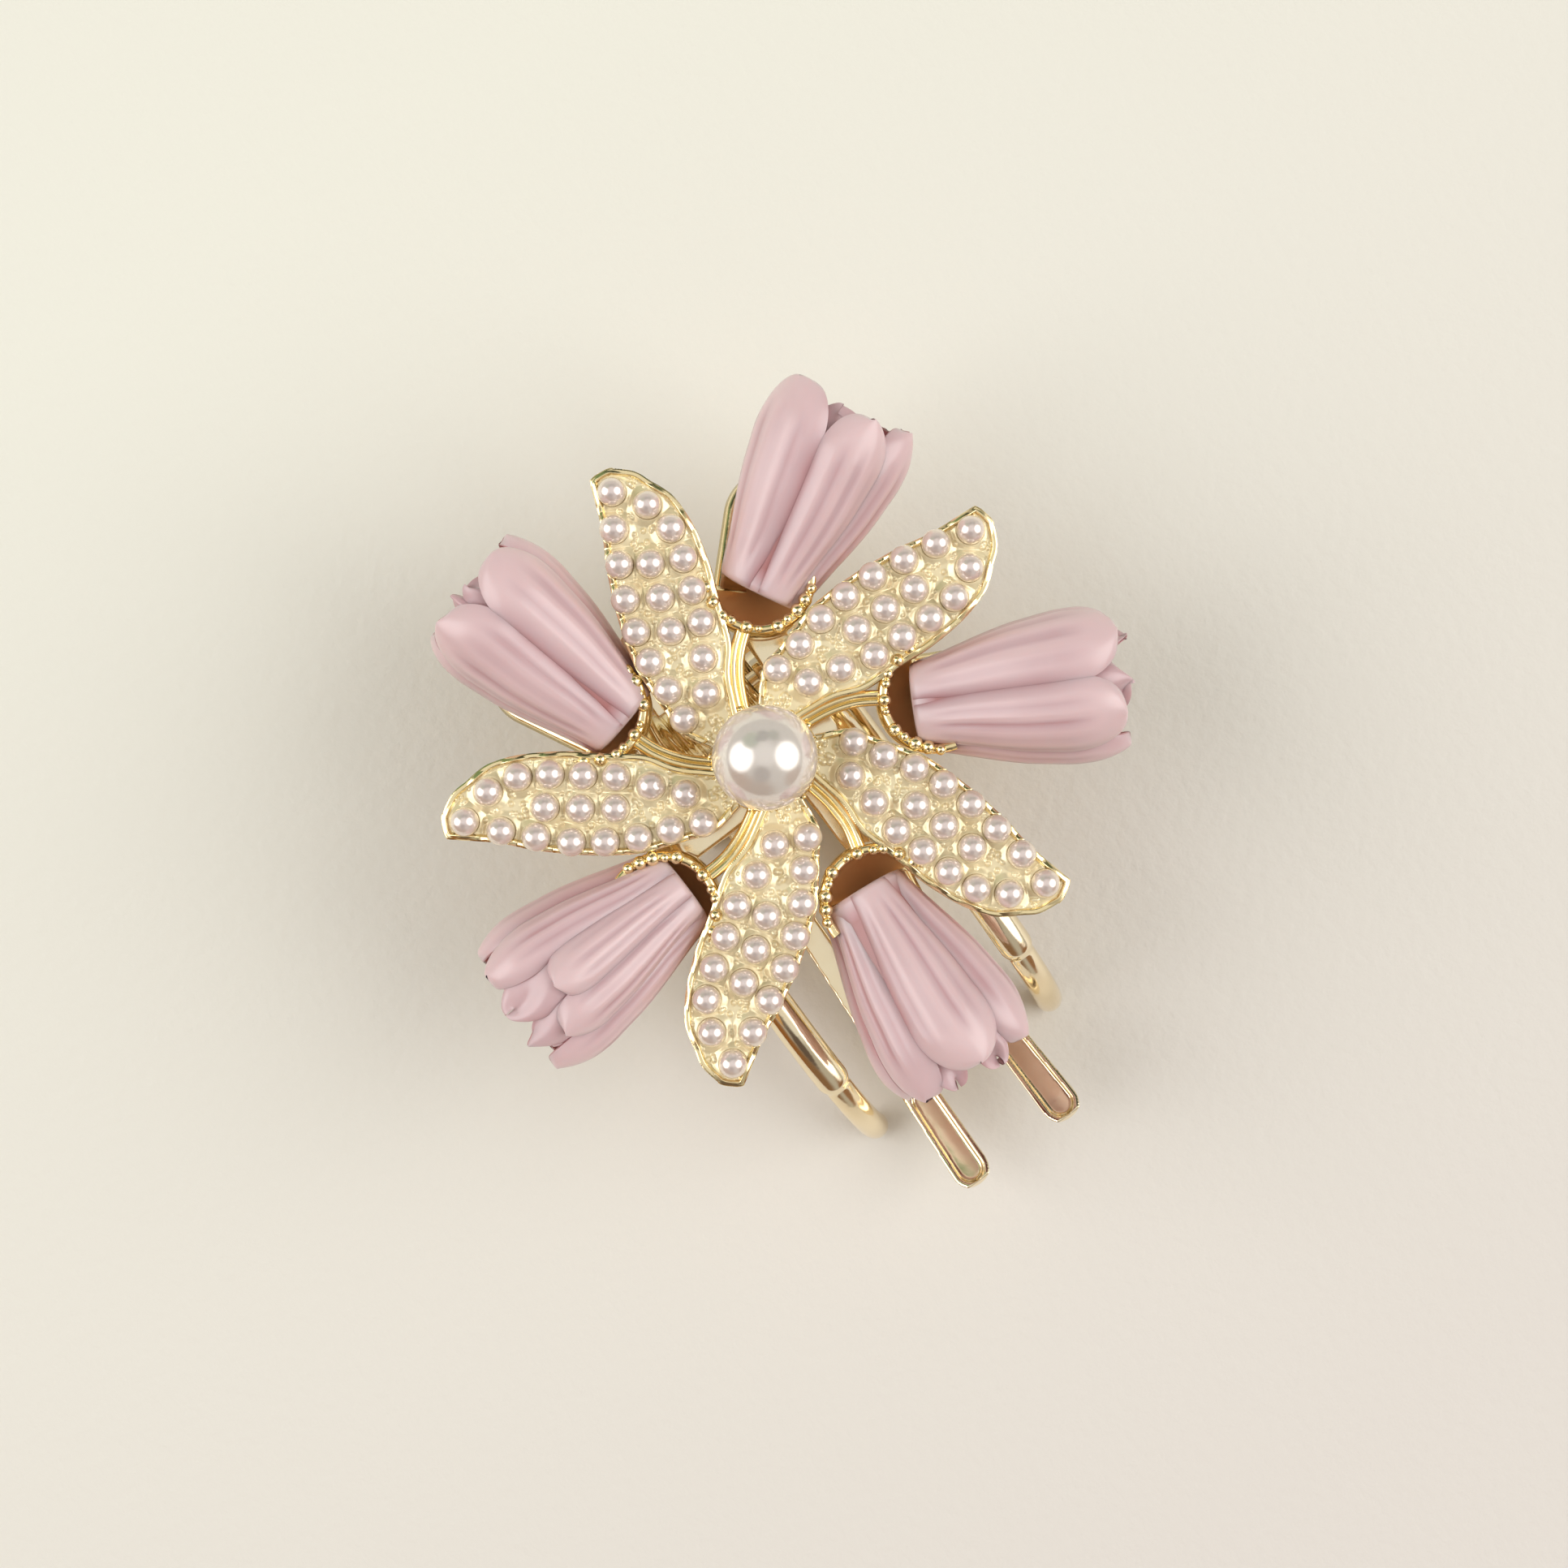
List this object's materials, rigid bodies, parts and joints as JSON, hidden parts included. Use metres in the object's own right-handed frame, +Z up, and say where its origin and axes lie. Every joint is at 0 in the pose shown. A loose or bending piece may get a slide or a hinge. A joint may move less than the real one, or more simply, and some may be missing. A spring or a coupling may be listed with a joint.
{
  "type": "flower hair clip",
  "caption": "Small sprung claw hair clip carrying a gold pinwheel flower with pearl-set petals, pink tulip buds and a large centre pearl.",
  "frame": {"origin": "middle of the footprint, at the lowest point of the clip, where it lies on a table", "axes": "+Z up out of the flower; the hinge pin runs along X; the teeth point along -Y and the thumb levers along +Y"},
  "size_m": [0.056, 0.064, 0.0268],
  "materials": {
    "gold_cast": "polished pale gold plating on a cast alloy",
    "gold_clip": "polished pale gold plating",
    "gold_pin": "polished pale gold plating",
    "gold_spring": "plated spring wire",
    "pearl_large": "pearl lacquer over a moulded bead",
    "pearl_small": "pearl lacquer over a moulded bead",
    "resin_pink": "soft satin dusty-pink resin"
  },
  "bodies": {
    "upper": {"flower_casting": "gold_cast", "centre_pearl": "pearl_large", "petal_1_pearls": "pearl_small", "petal_2_pearls": "pearl_small", "petal_3_pearls": "pearl_small", "petal_4_pearls": "pearl_small", "petal_5_pearls": "pearl_small", "bud_1": "resin_pink", "bud_2": "resin_pink", "bud_3": "resin_pink", "bud_4": "resin_pink", "bud_5": "resin_pink", "upper_jaw": "gold_clip", "hinge_pin": "gold_pin", "torsion_spring": "gold_spring"},
    "lower": {"lower_jaw": "gold_clip"}
  },
  "joints": [
    {"name": "jaw_hinge", "type": "hinge", "parent": "upper", "child": "lower", "pos_m": [-0.00209, 0.01203, 0.00751], "axis": [1, 0, 0], "range_deg": [0, 30], "stiffness_Nm_per_rad": 0.08, "springref_deg": -25.78, "deforming": ["torsion_spring"]}
  ]
}
